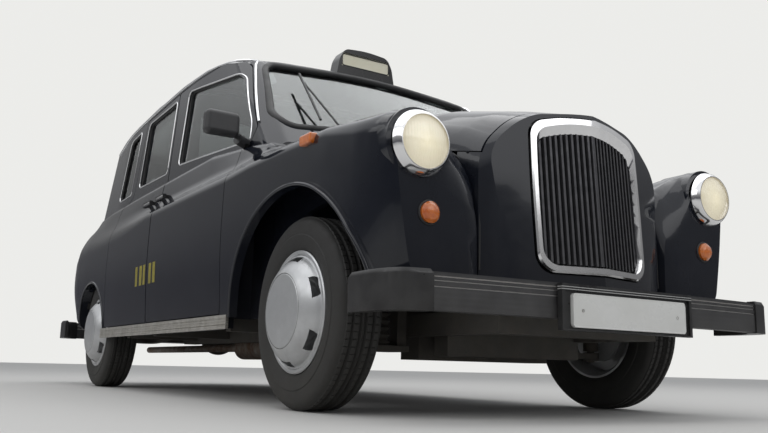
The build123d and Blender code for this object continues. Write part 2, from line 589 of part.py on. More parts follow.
# Engine block, plain, at its real place
engine = block((1200, 1860), (-230, 230), (350, 900)) + block((1200, 1420), (-160, 160), (200, 360)) \
    + block((1450, 1550), (-100, 100), (300 + seat_gap, 360)) + rod((1210, 0, 292), (851.3, 0, 285), 48)
keep("engine_block", engine)

# Front suspension and knuckles
eyes = ((204, 240), (445, 481))
link_y = 370 + seat_gap
links = block((1430, 1570), (link_y, 600), (212, 234)) + block((1455, 1545), (link_y, 600), (452, 474))
links += block((1450, 1550), (link_y, 410), (212, 520))
coil = []
for i in range(8):
    coil += [(i * 26, 46), (i * 26 + 13, 60)]
links += turned([(0, 20)] + coil + [(220, 46), (220, 20)], (front_axle_x, 480, 233), (0, 0, 1))
for low, high in eyes:
    links += Pos(front_axle_x, kingpin_y, (low + high) / 2) * Cylinder(34, high - low)
    links += block((1470, 1530), (590, kingpin_y), (low + 9, low + 27))
    links -= Pos(front_axle_x, kingpin_y, (low + high) / 2) * Cylinder(16 + running_fit, 60)
keep("front_suspension", links, flip(links))
knuckle = Pos(front_axle_x, kingpin_y, 342.5) * (Cylinder(32, 195) + Cylinder(16, 290))
knuckle += rod((front_axle_x, kingpin_y, axle_z), (front_axle_x, half_track + 26, axle_z), 30)
knuckle += block((front_axle_x - 120, front_axle_x), (kingpin_y + 5, kingpin_y + 32), (axle_z - 40, axle_z + 40))
knuckle += rod((front_axle_x, kingpin_y - 5, axle_z - 30), (front_axle_x - 150, kingpin_y - 25, axle_z - 30), 14)
keep("knuckle_left", knuckle)
keep("knuckle_right", flip(knuckle))

# Rear axle with leaf springs
axle = rod((rear_axle_x, -650, axle_z), (rear_axle_x, 650, axle_z), 38)
axle += rod((rear_axle_x, -half_track - 26, axle_z), (rear_axle_x, half_track + 26, axle_z), 30)
axle += rod((rear_axle_x, kingpin_y + 5, axle_z), (rear_axle_x, kingpin_y + 13, axle_z), 150)
axle += rod((rear_axle_x, -kingpin_y - 13, axle_z), (rear_axle_x, -kingpin_y - 5, axle_z), 150)
axle += Pos(rear_axle_x, 0, axle_z) * Sphere(125) - rod((-1190, 0, 325), (-1100, 0, 325), 40)
leaf_top = ThreePointArc((-760, 333), (rear_axle_x, 300), (-1930, 345))
leaf_low = ThreePointArc((-760, 320), (rear_axle_x, 274), (-1930, 332))
leaf = make_face([leaf_top, leaf_low, Line(leaf_top @ 0, leaf_low @ 0), Line(leaf_top @ 1, leaf_low @ 1)])
leaf = extrude(Plane.XZ.offset(-450) * leaf, amount=-60)
leaf += block((rear_axle_x - 60, rear_axle_x + 60), (450, 510), (290, 340))
axle = axle + leaf + flip(leaf)
keep("rear_axle", axle)

# Exhaust and fuel tank
pipe_z = 270 - seat_gap - 22
exhaust = rod((1215, -210, pipe_z), (-2180, -210, pipe_z), 22) + rod((250, -210, pipe_z), (-350, -210, pipe_z), 65)
exhaust += rod((1215, -210, pipe_z - 22), (1215, -210, 350 - seat_gap), 22)
exhaust -= rod((-2080, -210, pipe_z), (-2200, -210, pipe_z), 19)
keep("exhaust", exhaust)
keep("fuel_tank", fillet(block((-2070, -1700), (-345, 345), (300, 425 - seat_gap)).edges(), 25))

# Wheels: tyre, then steel wheel with its cover
tyre_profile = [(-60, 205), (-60.5, 221), (-80, 246), (-88, 278), (-84, 308), (-74, 328), (-58, 337), (-25, 340), (25, 340),
                (58, 337), (74, 328), (84, 308), (88, 278), (80, 246), (60.5, 221), (60, 205)]
rim_steel = [(-67, 217), (-61, 217), (-61, 204.8), (61, 204.8), (61, 217), (67, 217), (67, 200), (42, 190), (34, 176),
             (38, 120), (24, 90), (24, 30 + running_fit), (-50, 30 + running_fit), (-50, 62), (-46, 62), (-46, 140),
             (-36, 140), (-36, 62), (10, 62), (12, 90),
             (26, 122), (22, 176), (-40, 182), (-67, 200)]
cover_profile = [(67 + seat_gap, 214), (78, 216), (82, 212), (82, 203), (77, 198), (80, 192), (96, 184), (114, 166),
                 (128, 146), (134, 133), (133, 130), (135, 127), (138, 60), (139, 0),
                 (135, 0), (134, 58), (131, 124), (129, 130), (124, 143), (110, 163), (93, 180), (76, 188), (73, 198),
                 (78, 204), (78, 210), (67 + seat_gap, 210)]
slot_count = 6
for end, x in (("front", front_axle_x), ("rear", rear_axle_x)):
    centre = (x, half_track, axle_z)
    tyre = turned([(a * tyre_width / 176, r) for a, r in tyre_profile], centre, (0, 1, 0))
    steel = turned(rim_steel, centre, (0, 1, 0))
    cover = turned(cover_profile, centre, (0, 1, 0))
    for i in range(slot_count):
        turn = 5 + i * 360 / slot_count
        spot = Pos(x + 174 * sin(radians(turn)), half_track + 70, axle_z + 174 * cos(radians(turn)))
        slot = extrude(Plane.XZ * RectangleRounded(78, 34, 14), amount=35, both=True)
        cover -= spot * (Rot(0, turn, 0) * slot)
    for wheel_side, shapes in (("left", (tyre, steel, cover)), ("right", (flip(tyre), flip(steel), flip(cover)))):
        keep(f"tyre_{end}_{wheel_side}", shapes[0])
        keep(f"wheel_{end}_{wheel_side}", *shapes[1:])
keep("tail_lamps", tail_lamp, flip(tail_lamp))
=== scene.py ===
import bpy
import json
import math
from mathutils import Matrix, Vector


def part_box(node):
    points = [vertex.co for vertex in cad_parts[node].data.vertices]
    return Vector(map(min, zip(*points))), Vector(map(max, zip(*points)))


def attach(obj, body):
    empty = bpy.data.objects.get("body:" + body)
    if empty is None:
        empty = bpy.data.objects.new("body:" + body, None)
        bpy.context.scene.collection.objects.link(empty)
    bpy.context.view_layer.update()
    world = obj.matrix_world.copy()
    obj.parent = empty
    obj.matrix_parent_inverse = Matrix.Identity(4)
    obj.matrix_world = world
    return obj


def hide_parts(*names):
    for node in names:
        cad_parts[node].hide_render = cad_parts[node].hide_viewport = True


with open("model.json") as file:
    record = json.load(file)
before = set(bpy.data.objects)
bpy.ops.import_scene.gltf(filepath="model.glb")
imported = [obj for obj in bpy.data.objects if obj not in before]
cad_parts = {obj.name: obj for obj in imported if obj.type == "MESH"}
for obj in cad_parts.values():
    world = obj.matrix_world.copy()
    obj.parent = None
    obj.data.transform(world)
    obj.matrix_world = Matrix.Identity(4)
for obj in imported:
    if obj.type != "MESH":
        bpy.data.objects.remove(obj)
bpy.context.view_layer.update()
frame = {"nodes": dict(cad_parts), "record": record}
scene = bpy.context.scene
scene.view_settings.view_transform = "Standard"


# ---- Floor, light and camera ----
# The cab stands on a plain pale floor under a soft open sky, as on a bright overcast day.
# The camera is low beside the kerb, close to the front corner, and looks a little upward.
def math_node(tree, operation, first, second=0.0, clamp=False):
    """A Math node on two sockets or numbers; returns its output."""
    node = tree.nodes.new("ShaderNodeMath")
    node.operation = operation
    node.use_clamp = clamp
    for place, value in ((0, first), (1, second)):
        if isinstance(value, (int, float)):
            node.inputs[place].default_value = value
        else:
            tree.links.new(value, node.inputs[place])
    return node.outputs[0]


def shader_of(material):
    """The Principled shader of a material."""
    return material.node_tree.nodes["Principled BSDF"]


world = bpy.data.worlds.new("pale_sky")
scene.world = world
world.use_nodes = True
sky = world.node_tree
sky.nodes.clear()
sky_out = sky.nodes.new("ShaderNodeOutputWorld")
sky_mix = sky.nodes.new("ShaderNodeMixShader")
sky_light = sky.nodes.new("ShaderNodeBackground")
sky_light.inputs["Color"].default_value = (0.93, 0.96, 1.0, 1)
sky_light.inputs["Strength"].default_value = 0.5
sky_seen = sky.nodes.new("ShaderNodeBackground")
sky_seen.inputs["Strength"].default_value = 1.0
sky_way = sky.nodes.new("ShaderNodeTexCoord")
sky_split = sky.nodes.new("ShaderNodeSeparateXYZ")
sky_ramp = sky.nodes.new("ShaderNodeValToRGB")
sky_bands = sky_ramp.color_ramp.elements
sky_bands[0].position = 0.06
sky_bands[0].color = (0.10, 0.10, 0.11, 1)
sky_bands[1].position = 0.52
sky_bands[1].color = (0.97, 0.98, 1.00, 1)
sky_bands.new(0.26).color = (0.26, 0.26, 0.26, 1)
sky_shown = sky.nodes.new("ShaderNodeMix")
sky_shown.data_type = "RGBA"
sky_shown.inputs["B"].default_value = (0.84, 0.84, 0.82, 1)
sky_path = sky.nodes.new("ShaderNodeLightPath")
sky.links.new(sky_way.outputs["Generated"], sky_split.inputs[0])
sky.links.new(sky_split.outputs["Z"], sky_ramp.inputs["Fac"])
sky.links.new(sky_ramp.outputs["Color"], sky_shown.inputs["A"])
sky.links.new(sky_path.outputs["Is Camera Ray"], sky_shown.inputs["Factor"])
sky.links.new(sky_shown.outputs["Result"], sky_seen.inputs["Color"])
sky_mirrored = math_node(sky, "MAXIMUM", sky_path.outputs["Is Camera Ray"],
                         sky_path.outputs["Is Glossy Ray"])
sky_any = math_node(sky, "MAXIMUM", sky_mirrored, sky_path.outputs["Is Transmission Ray"])
sky.links.new(sky_any, sky_mix.inputs["Fac"])
sky.links.new(sky_light.outputs[0], sky_mix.inputs[1])
sky.links.new(sky_seen.outputs[0], sky_mix.inputs[2])
sky.links.new(sky_mix.outputs[0], sky_out.inputs["Surface"])

floor_side = 90
floor_drop = 0.0006
bpy.ops.object.select_all(action="DESELECT")
bpy.ops.mesh.primitive_plane_add(size=floor_side, location=(0, 0, -floor_drop))
floor = bpy.context.object
floor.name = "studio_floor"
floor_paint = bpy.data.materials.new("floor_pale")
floor_paint.use_nodes = True
shader_of(floor_paint).inputs["Base Color"].default_value = (0.64, 0.63, 0.61, 1)
shader_of(floor_paint).inputs["Roughness"].default_value = 0.85
floor.data.materials.append(floor_paint)

for name, place, target, size, power in (
        ("soft_roof", (0.5, 0.0, 7.0), (0.0, 0.0, 0.0), (12.0, 7.0), 270),
        ("soft_kerb", (1.5, -8.5, 5.2), (0.0, 0.0, 0.8), (11.0, 3.6), 120),
        ("soft_nose", (9.0, 1.5, 4.6), (1.0, 0.0, 0.8), (6.0, 3.0), 60)):
    lamp = bpy.data.lights.new(name, "AREA")
    lamp.shape = "RECTANGLE"
    lamp.size, lamp.size_y = size
    lamp.energy = power
    lamp_object = bpy.data.objects.new(name, lamp)
    scene.collection.objects.link(lamp_object)
    lamp_object.location = place
    aim = Vector(target) - Vector(place)
    lamp_object.rotation_euler = aim.to_track_quat("-Z", "Y").to_euler()

camera = bpy.data.cameras.new("kerb_camera")
camera.lens = 38.72
camera.sensor_width = 36
camera.clip_end = 200
camera_object = bpy.data.objects.new("kerb_camera", camera)
scene.collection.objects.link(camera_object)
across = Vector((0.534185, 0.845060, 0.022794))
upward = Vector((0.140824, -0.115541, 0.983269))
ahead = Vector((-0.833556, 0.522037, 0.180725))
stand = Vector((4.1272, -2.0937, 0.1516))
camera_object.matrix_world = Matrix((
    (across.x, upward.x, -ahead.x, stand.x),
    (across.y, upward.y, -ahead.y, stand.y),
    (across.z, upward.z, -ahead.z, stand.z),
    (0, 0, 0, 1)))
scene.camera = camera_object


# ---- Painted body panels ----
# Pressed steel panels in deep bluish black enamel: shell, wings, nose, bonnet, boot lid and doors.
# Each panel is polished as one skin, with thin road dust towards the sills and a faint orange peel.
def pick(piece):
    """Selects one piece alone and makes it active."""
    bpy.ops.object.select_all(action="DESELECT")
    piece.select_set(True)
    bpy.context.view_layer.objects.active = piece


def copy_of(node, name):
    """A merged copy of a CAD node's mesh, free to be shaped."""
    piece = bpy.data.objects.new(name, frame["nodes"][node].data.copy())
    scene.collection.objects.link(piece)
    pick(piece)
    bpy.ops.mesh.customdata_custom_splitnormals_clear()
    bpy.ops.object.mode_set(mode="EDIT")
    bpy.ops.mesh.select_all(action="SELECT")
    bpy.ops.mesh.remove_doubles(threshold=0.00002)
    bpy.ops.mesh.select_all(action="DESELECT")
    bpy.ops.object.mode_set(mode="OBJECT")
    return piece


def settle(piece, material, body, angle):
    """Gives a finished piece its material, soft shading and body."""
    piece.data.materials.clear()
    piece.data.materials.append(material)
    pick(piece)
    bpy.ops.object.transform_apply(location=True, rotation=True, scale=True)
    bpy.ops.object.shade_smooth_by_angle(angle=math.radians(angle))
    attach(piece, body)


body_of = {node: body for body, nodes in frame["record"]["behaviour"]["bodies"].items()
           for node in nodes}


def polished(node, material, angle):
    """One smooth skin in place of a CAD node, with its large faces leading the shading."""
    piece = copy_of(node, node + "_skin")
    settle(piece, material, body_of[node], angle=angle)
    pick(piece)
    bpy.ops.object.modifier_add(type="WEIGHTED_NORMAL")
    piece.modifiers[-1].keep_sharp = True
    bpy.ops.object.modifier_apply(modifier=piece.modifiers[-1].name)
    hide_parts(node)
    return piece


def new_group(name, inputs, output):
    """An empty shader group with named inputs and one named output."""
    group = bpy.data.node_groups.new(name, "ShaderNodeTree")
    for label, value in inputs:
        socket = group.interface.new_socket(name=label, in_out="INPUT",
                                            socket_type="NodeSocketFloat")
        socket.default_value = value
    group.interface.new_socket(name=output, in_out="OUTPUT", socket_type="NodeSocketFloat")
    return group, group.nodes.new("NodeGroupInput"), group.nodes.new("NodeGroupOutput")


patches, patches_in, patches_out = new_group("patches", (("Scale", 8.0), ("Contrast", 2.0)), "Mask")
patch_place = patches.nodes.new("ShaderNodeTexCoord")
patch_noise = patches.nodes.new("ShaderNodeTexNoise")
patch_noise.inputs["Detail"].default_value = 6
patch_noise.inputs["Roughness"].default_value = 0.6
patches.links.new(patch_place.outputs["Object"], patch_noise.inputs["Vector"])
patches.links.new(patches_in.outputs["Scale"], patch_noise.inputs["Scale"])
patch_low = math_node(patches, "SUBTRACT", patch_noise.outputs["Fac"], 0.5)
patch_high = math_node(patches, "MULTIPLY", patch_low, patches_in.outputs["Contrast"])
patches.links.new(math_node(patches, "ADD", patch_high, 0.5, True), patches_out.inputs["Mask"])

grain, grain_in, grain_out = new_group("grain", (("Scale", 400.0),), "Height")
grain_place = grain.nodes.new("ShaderNodeTexCoord")
grain_noise = grain.nodes.new("ShaderNodeTexNoise")
grain_noise.inputs["Detail"].default_value = 3
grain.links.new(grain_place.outputs["Object"], grain_noise.inputs["Vector"])
grain.links.new(grain_in.outputs["Scale"], grain_noise.inputs["Scale"])
grain.links.new(grain_noise.outputs["Fac"], grain_out.inputs["Height"])

road_film, film_in, film_out = new_group("road_film", (("Top", 0.9), ("Amount", 0.3)), "Mask")
film_place = road_film.nodes.new("ShaderNodeTexCoord")
film_split = road_film.nodes.new("ShaderNodeSeparateXYZ")
film_noise = road_film.nodes.new("ShaderNodeTexNoise")
film_noise.inputs["Scale"].default_value = 14
film_noise.inputs["Detail"].default_value = 8
film_noise.inputs["Roughness"].default_value = 0.7
road_film.links.new(film_place.outputs["Object"], film_split.inputs[0])
road_film.links.new(film_place.outputs["Object"], film_noise.inputs["Vector"])
film_depth = math_node(road_film, "SUBTRACT", film_in.outputs["Top"], film_split.outputs["Z"])
film_share = math_node(road_film, "DIVIDE", film_depth, film_in.outputs["Top"], True)
film_curve = math_node(road_film, "MULTIPLY", film_share, film_share)
film_rough = math_node(road_film, "MULTIPLY", film_curve, film_noise.outputs["Fac"])
film_thin = math_node(road_film, "MULTIPLY", film_rough, film_in.outputs["Amount"])
road_film.links.new(math_node(road_film, "MULTIPLY", film_thin, 2.0, True), film_out.inputs["Mask"])


def finish(name, light, dark, smooth, rough, patch_scale, grain_scale, grain_depth, metallic=0.0,
           dust=0.3, dust_top=0.9, dust_colour=(0.21, 0.19, 0.16)):
    """A finish whose colour, gloss and relief vary over the surface, dusty towards the road."""
    material = bpy.data.materials.new(name)
    material.use_nodes = True
    tree = material.node_tree
    shader = shader_of(material)
    shader.inputs["Metallic"].default_value = metallic
    patch = tree.nodes.new("ShaderNodeGroup")
    patch.node_tree = patches
    patch.inputs["Scale"].default_value = patch_scale
    patch.inputs["Contrast"].default_value = 2.5
    film = tree.nodes.new("ShaderNodeGroup")
    film.node_tree = road_film
    film.inputs["Top"].default_value = dust_top
    film.inputs["Amount"].default_value = dust
    fine = tree.nodes.new("ShaderNodeGroup")
    fine.node_tree = grain
    fine.inputs["Scale"].default_value = grain_scale
    colour = tree.nodes.new("ShaderNodeMix")
    colour.data_type = "RGBA"
    colour.inputs["A"].default_value = (*light, 1)
    colour.inputs["B"].default_value = (*dark, 1)
    tree.links.new(patch.outputs["Mask"], colour.inputs["Factor"])
    dusty = tree.nodes.new("ShaderNodeMix")
    dusty.data_type = "RGBA"
    dusty.inputs["B"].default_value = (*dust_colour, 1)
    tree.links.new(film.outputs["Mask"], dusty.inputs["Factor"])
    tree.links.new(colour.outputs["Result"], dusty.inputs["A"])
    tree.links.new(dusty.outputs["Result"], shader.inputs["Base Color"])
    spread = math_node(tree, "MULTIPLY", patch.outputs["Mask"], rough - smooth)
    gloss = math_node(tree, "ADD", spread, smooth)
    dull = math_node(tree, "MULTIPLY", film.outputs["Mask"], 0.5)
    tree.links.new(math_node(tree, "ADD", gloss, dull, True), shader.inputs["Roughness"])
    bump = tree.nodes.new("ShaderNodeBump")
    bump.name = "Relief"
    bump.inputs["Distance"].default_value = grain_depth
    bump.inputs["Strength"].default_value = 0.6
    tree.links.new(fine.outputs["Height"], bump.inputs["Height"])
    tree.links.new(bump.outputs["Normal"], shader.inputs["Normal"])
    return material


black_paint = finish("black_paint", light=(0.008, 0.010, 0.016), dark=(0.012, 0.014, 0.021),
                     smooth=0.07, rough=0.14, patch_scale=5.0, grain_scale=260.0,
                     grain_depth=0.00004, dust=0.12, dust_top=0.95)
shader_of(black_paint).inputs["Specular IOR Level"].default_value = 0.3
shader_of(black_paint).inputs["Coat Weight"].default_value = 0.25
shader_of(black_paint).inputs["Coat Roughness"].default_value = 0.03
panels = {}
for node in ("body_shell", "front_wings", "nose_panel", "bonnet", "boot_lid", "door_front_left",
             "door_front_right", "door_rear_left", "door_rear_right"):
    panels[node] = polished(node, black_paint, angle=24)


# ---- Window glass ----
# Toughened panes set in rubber, with a faint green-grey tint and wiped smears on the outside.
# The panes follow the curve of the cab, and the screen wraps a little at its sides.
pane_finish = finish("pane_glass", light=(0.80, 0.86, 0.85), dark=(0.74, 0.80, 0.79), smooth=0.0,
                     rough=0.03, patch_scale=4.0, grain_scale=30.0, grain_depth=0.00001, dust=0.0,
                     dust_top=0.01)
shader_of(pane_finish).inputs["Transmission Weight"].default_value = 1.0
shader_of(pane_finish).inputs["IOR"].default_value = 1.5
pane_finish.node_tree.nodes["Relief"].inputs["Strength"].default_value = 0.0
door_panes = ["glass_front_left", "glass_front_right", "glass_rear_left", "glass_rear_right"]
for node in ["fixed_windows"] + door_panes:
    polished(node, pane_finish, angle=25)


# ---- Window rubbers and bright beads ----
# Extruded black rubber holds each pane, and a thin polished bead frames the opening outside.
# Both follow the outline of the pane: the rubber on the glass, the bead on the body's skin.
def outline_tube(node, wanted, name, material, lift, radius):
    """A tube along the edge of the pane faces that wanted() picks, lifted along their normals."""
    piece = copy_of(node, name)
    data = piece.data
    for face in data.polygons:
        face.select = not wanted(face)
    bpy.ops.object.mode_set(mode="EDIT")
    bpy.ops.mesh.select_mode(type="FACE")
    bpy.ops.mesh.delete(type="FACE")
    bpy.ops.object.mode_set(mode="OBJECT")
    rises = [vertex.normal.copy() for vertex in data.vertices]
    for vertex, rise in zip(data.vertices, rises):
        vertex.co += rise * lift
    bpy.ops.object.mode_set(mode="EDIT")
    bpy.ops.mesh.select_all(action="SELECT")
    bpy.ops.mesh.region_to_loop()
    bpy.ops.mesh.select_all(action="INVERT")
    bpy.ops.mesh.delete(type="EDGE")
    bpy.ops.mesh.select_all(action="SELECT")
    bpy.ops.mesh.delete_loose(use_verts=True, use_edges=False, use_faces=False)
    bpy.ops.object.mode_set(mode="OBJECT")
    pick(piece)
    bpy.ops.object.convert(target="CURVE")
    piece = bpy.context.object
    piece.data.bevel_depth = radius
    piece.data.bevel_resolution = 2
    bpy.ops.object.convert(target="MESH")
    settle(bpy.context.object, material, body_of[node], angle=60)


rubber = finish("window_rubber", light=(0.013, 0.013, 0.014), dark=(0.022, 0.022, 0.023),
                smooth=0.42, rough=0.62, patch_scale=20.0, grain_scale=900.0, grain_depth=0.0002)
chrome = finish("chrome", light=(0.88, 0.88, 0.89), dark=(0.78, 0.78, 0.79), smooth=0.06,
                rough=0.16, patch_scale=14.0, grain_scale=220.0, grain_depth=0.00003, metallic=1.0,
                dust=0.35)
bead_lift = 0.0165
bead_radius = 0.0042


def outer_side(face):
    """True for the faces of a door's pane that look out of the cab."""
    return face.normal.y * face.center.y > 0.4 * abs(face.center.y)


def quarter_side(side):
    """Picks the outer faces of the small window behind the rear door on one side."""
    return lambda face: (-1.3 < face.center.x < -0.85 and side * face.center.y > 0.5
                         and side * face.normal.y > 0.4)


for node in door_panes:
    outline_tube(node, outer_side, node + "_rubber", rubber, lift=0.001, radius=0.009)
    outline_tube(node, outer_side, node + "_bead", chrome, lift=bead_lift,
                 radius=bead_radius)
for label, wanted, width, beaded in (
        ("screen", lambda face: face.center.x > 0 and face.normal.x > 0.25, 0.019, False),
        ("back_window", lambda face: face.center.x < -1.4 and face.normal.x < -0.25, 0.016, False),
        ("quarter_left", quarter_side(1), 0.011, True),
        ("quarter_right", quarter_side(-1), 0.011, True)):
    outline_tube("fixed_windows", wanted, label + "_rubber", rubber, lift=0.006,
                 radius=width)
    if beaded:
        outline_tube("fixed_windows", wanted, label + "_bead", chrome, lift=bead_lift,
                     radius=bead_radius)


# ---- Drip rails and arch lips ----
# A folded bright rail runs up the screen post and over the doors; the wheel arches have rolled
# edges. Both lie on the outside of the shell, so their points are dropped onto the panels.
def on_side(x, z, side):
    """The outermost point of the painted panels at this x and z, on one side of the cab."""
    best = None
    for node in ("body_shell", "front_wings", "door_front_left", "door_front_right",
                 "door_rear_left", "door_rear_right"):
        for nudge in (0.0, 0.0013, -0.0017):
            hit, place = panels[node].ray_cast(Vector((x + nudge, side * 1.4, z + nudge)),
                                               Vector((0, -side, 0)))[:2]
            if hit and (best is None or place.y * side > best.y * side):
                best = place
    return best


def smooth_route(corners, step):
    """Points along a soft curve through the corners, a step apart at most."""
    route = []
    for i in range(len(corners) - 1):
        before = Vector(corners[max(i - 1, 0)])
        start = Vector(corners[i])
        end = Vector(corners[i + 1])
        after = Vector(corners[min(i + 2, len(corners) - 1)])
        count = max(2, int((end - start).length / step))
        for k in range(count):
            t = k / count
            route.append(0.5 * (2 * start + (end - before) * t
                                + (2 * before - 5 * start + 4 * end - after) * t ** 2
                                + (3 * start - before - 3 * end + after) * t ** 3))
    route.append(Vector(corners[-1]))
    return route


def tube(points, name, material, body, radius, closed=False):
    """A drawn bar along a line of points, with closed ends."""
    line = bpy.data.curves.new(name, "CURVE")
    line.dimensions = "3D"
    spline = line.splines.new("POLY")
    spline.points.add(len(points) - 1)
    for point, place in zip(spline.points, points):
        point.co = (*place, 1)
    spline.use_cyclic_u = closed
    line.bevel_depth = radius
    line.bevel_resolution = 2
    line.use_fill_caps = not closed
    piece = bpy.data.objects.new(name, line)
    scene.collection.objects.link(piece)
    pick(piece)
    bpy.ops.object.convert(target="MESH")
    settle(bpy.context.object, material, body, angle=60)


sides = (("left", 1), ("right", -1))
hub_z = 0.340
rail_lift = 0.002
rail_least_y = 0.60
lip_sink = 0.001
lip_least_y = 0.74
rail_line = [(-1.560, 1.560), (-1.180, 1.592), (-0.790, 1.616), (-0.190, 1.634), (0.300, 1.632),
             (0.540, 1.624), (0.600, 1.596), (0.648, 1.549), (0.796, 1.356), (0.925, 1.187)]
for label, side in sides:
    rail = []
    for x, z in smooth_route(rail_line, step=0.03):
        place = on_side(x, z, side)
        if place is not None and place.y * side > rail_least_y:
            rail.append((x, place.y + side * rail_lift, z))
    tube(rail, "drip_rail_" + label, chrome, "body", radius=0.0065)
    for arch, middle_x, reach, rise in (("front", 1.488, 0.507, 0.445),
                                        ("rear", -1.417, 0.345, 0.314)):
        lip = []
        for step in range(61):
            turn = math.radians(3 * step)
            x = middle_x + reach * math.cos(turn)
            z = hub_z + rise * math.sin(turn)
            place = on_side(x, z, side)
            if place is not None and place.y * side > lip_least_y:
                lip.append((x, place.y - side * lip_sink, z))
        tube(lip, f"{arch}_arch_lip_{label}", black_paint, "body", radius=0.0075)


# ---- Wheel arch liners ----
# Pressed steel liners close the arches from the boot and the engine bay, under black sound paint.
# The rear ones are drums over the tyres; the front ones are upright inner wings, clear of the
# steered tyres.
liner_finish = finish("arch_liner", light=(0.018, 0.018, 0.018), dark=(0.032, 0.030, 0.027),
                      smooth=0.6, rough=0.8, patch_scale=14.0, grain_scale=240.0,
                      grain_depth=0.0012, dust=0.4, dust_top=0.7)
liner_sheet = 0.0015


def choose_faces(piece, wanted):
    """Opens a piece in edit mode with only the faces selected that wanted() picks."""
    pick(piece)
    bpy.ops.object.mode_set(mode="EDIT")
    bpy.ops.mesh.select_mode(type="FACE")
    bpy.ops.mesh.select_all(action="DESELECT")
    bpy.ops.object.mode_set(mode="OBJECT")
    for face in piece.data.polygons:
        face.select = wanted(face)
    bpy.ops.object.mode_set(mode="EDIT")


def fresh_piece(name, scale=None):
    """Names the new primitive and puts its place and size into its mesh."""
    piece = bpy.context.object
    piece.name = name
    if scale is not None:
        piece.scale = scale
    bpy.ops.object.transform_apply(location=True, rotation=True, scale=True)
    return piece


def sheet_metal(piece, thickness):
    """Gives an open skin the thickness of its sheet."""
    bpy.ops.object.modifier_add(type="SOLIDIFY")
    piece.modifiers[-1].thickness = thickness
    piece.modifiers[-1].offset = 0
    bpy.ops.object.modifier_apply(modifier=piece.modifiers[-1].name)


for label, side in sides:
    bpy.ops.object.select_all(action="DESELECT")
    bpy.ops.mesh.primitive_cylinder_add(
        vertices=48, radius=0.372, depth=0.19, end_fill_type="NGON",
        location=(-1.352, side * 0.705, 0.362), rotation=(math.radians(90), 0, 0))
    liner = fresh_piece("rear_arch_liner_" + label)
    choose_faces(liner, lambda face: face.normal.y * side > 0.9)
    bpy.ops.mesh.delete(type="FACE")
    bpy.ops.mesh.select_all(action="SELECT")
    bpy.ops.mesh.bisect(plane_co=(0, 0, 0.50), plane_no=(0, 0, 1), clear_inner=True)
    bpy.ops.object.mode_set(mode="OBJECT")
    sheet_metal(liner, liner_sheet)
    settle(liner, liner_finish, "body", angle=40)

    bpy.ops.object.select_all(action="DESELECT")
    bpy.ops.mesh.primitive_grid_add(
        x_subdivisions=12, y_subdivisions=6, size=1,
        location=(1.52, side * 0.375, 0.68), rotation=(math.radians(90), 0, 0))
    wall = fresh_piece("inner_wing_" + label, scale=(0.74, 0.40, 1))
    choose_faces(wall, lambda face: 1.25 < face.center.x < 1.80 and 0.55 < face.center.z < 0.80)
    bpy.ops.mesh.inset(thickness=0.020, depth=0.006)
    bpy.ops.mesh.select_mode(type="EDGE")
    bpy.ops.mesh.select_all(action="DESELECT")
    bpy.ops.object.mode_set(mode="OBJECT")
    for edge in wall.data.edges:
        edge.select = all(wall.data.vertices[i].co.z > 0.879 for i in edge.vertices)
    bpy.ops.object.mode_set(mode="EDIT")
    bpy.ops.mesh.extrude_region_move(TRANSFORM_OT_translate={"value": (0, side * 0.41, -0.02)})
    bpy.ops.object.mode_set(mode="OBJECT")
    sheet_metal(wall, liner_sheet)
    settle(wall, liner_finish, "body", angle=40)


# ---- Wing piping ----
# A black rubber bead is pinched in the seam where each wing is bolted to the nose.
# It shows as a dark line that runs down beside the lamp.
for label, side in sides:
    piping = [(2.050, side * 0.427, 0.470), (2.050, side * 0.425, 0.600),
              (2.048, side * 0.425, 0.690), (2.040, side * 0.428, 0.737),
              (2.023, side * 0.430, 0.781), (1.983, side * 0.436, 0.837),
              (1.949, side * 0.460, 0.871)]
    tube(smooth_route(piping, step=0.02), "wing_piping_" + label, rubber, "body",
         radius=0.0045)


# ---- Radiator grille ----
# A pressed and plated surround stands proud of the nose, and dark enamelled upright bars fill it.
# The bars are thin pressings, duller in patches and dusty near the bottom.
polished("grille_surround", chrome, angle=32)
bar_finish = finish("grille_bars", light=(0.080, 0.080, 0.086), dark=(0.050, 0.050, 0.055),
                    smooth=0.28, rough=0.46, patch_scale=30.0, grain_scale=700.0,
                    grain_depth=0.0001, metallic=0.5, dust=0.2, dust_top=0.8)
polished("grille_bars", bar_finish, angle=30)


# ---- Lamps ----
# Round headlamps have wide plated rims and fluted, cream-tinted lenses, with amber domes below on
# rubber bases. The unlit lenses carry a painted glow, brightest in the middle, in place of a bright
# bowl behind them, and painted shade towards the rim. The tail lamps are upright red mouldings with
# an amber part at the top and a clear band at the bottom.
def object_axis(material, letter):
    """The X, Y or Z of the Object coordinates in a material."""
    tree = material.node_tree
    place = tree.nodes.new("ShaderNodeTexCoord")
    split = tree.nodes.new("ShaderNodeSeparateXYZ")
    tree.links.new(place.outputs["Object"], split.inputs[0])
    return split.outputs[letter]


def tint(material, mask, colour):
    """Lays a colour over a finish where the mask is 1."""
    tree = material.node_tree
    over = tree.nodes.new("ShaderNodeMix")
    over.data_type = "RGBA"
    over.inputs["B"].default_value = (*colour, 1)
    base = shader_of(material).inputs["Base Color"]
    tree.links.new(base.links[0].from_socket, over.inputs["A"])
    tree.links.new(mask, over.inputs["Factor"])
    tree.links.new(over.outputs["Result"], base)


def relief(material, height, share):
    """Adds a height pattern to the relief of a finish."""
    tree = material.node_tree
    bump = tree.nodes["Relief"]
    below = bump.inputs["Height"].links[0].from_socket
    scaled = math_node(tree, "MULTIPLY", height, share)
    tree.links.new(math_node(tree, "ADD", below, scaled), bump.inputs["Height"])


def waves(material, along, pitch, share):
    """Adds fine parallel waves to the relief, counted along a socket's value."""
    tree = material.node_tree
    relief(material, math_node(tree, "SINE", math_node(tree, "MULTIPLY", along, pitch)), share)


